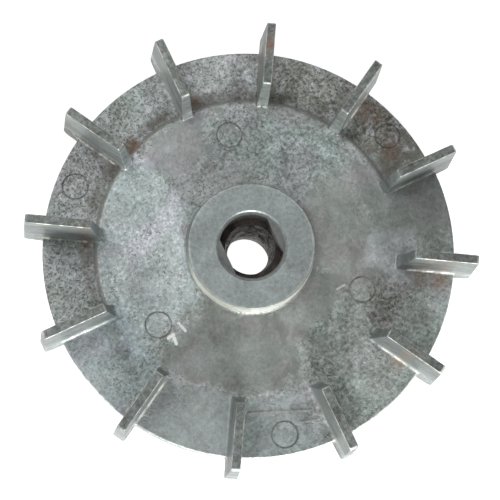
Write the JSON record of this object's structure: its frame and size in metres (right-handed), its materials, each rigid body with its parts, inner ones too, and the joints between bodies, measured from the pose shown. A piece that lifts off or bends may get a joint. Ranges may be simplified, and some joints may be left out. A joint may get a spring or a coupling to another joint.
{
  "type": "flywheel",
  "caption": "Magneto flywheel with radial cooling-fan vanes on a flange, a flatted hub socket and a tapered bore for a small engine's crankshaft.",
  "frame": {"origin": "on the crankshaft axis, in the plane of the skirt's open edge, which is the base of the part", "axes": "+Z along the crankshaft axis towards the fan side; +X along one vane and square to the flats of the washer socket"},
  "size_m": [0.1754, 0.1754, 0.0575],
  "materials": {
    "cast_aluminium": "dull grey die casting with stains",
    "bush_steel": "turned steel, dark and lightly rusted",
    "ring_steel": "turned steel, oiled",
    "magnet": "ground cast magnet alloy",
    "lamination_steel": "stacked steel sheet",
    "screw_steel": "blackened steel",
    "cam_steel": "ground hardened steel"
  },
  "bodies": {
    "root": {"fan_casting": "cast_aluminium", "hub_bush": "bush_steel", "return_ring": "ring_steel", "magnet_1": "magnet", "magnet_2": "magnet", "magnet_3": "magnet", "magnet_4": "magnet", "pole_shoe_1": "lamination_steel", "pole_shoe_2": "lamination_steel", "pole_shoe_3": "lamination_steel", "pole_shoe_4": "lamination_steel", "pole_screw_1": "screw_steel", "pole_screw_2": "screw_steel", "pole_screw_3": "screw_steel", "pole_screw_4": "screw_steel", "pole_screw_5": "screw_steel", "pole_screw_6": "screw_steel", "pole_screw_7": "screw_steel", "pole_screw_8": "screw_steel", "points_cam": "cam_steel", "cam_screw_1": "screw_steel", "cam_screw_2": "screw_steel"}
  },
  "joints": []
}
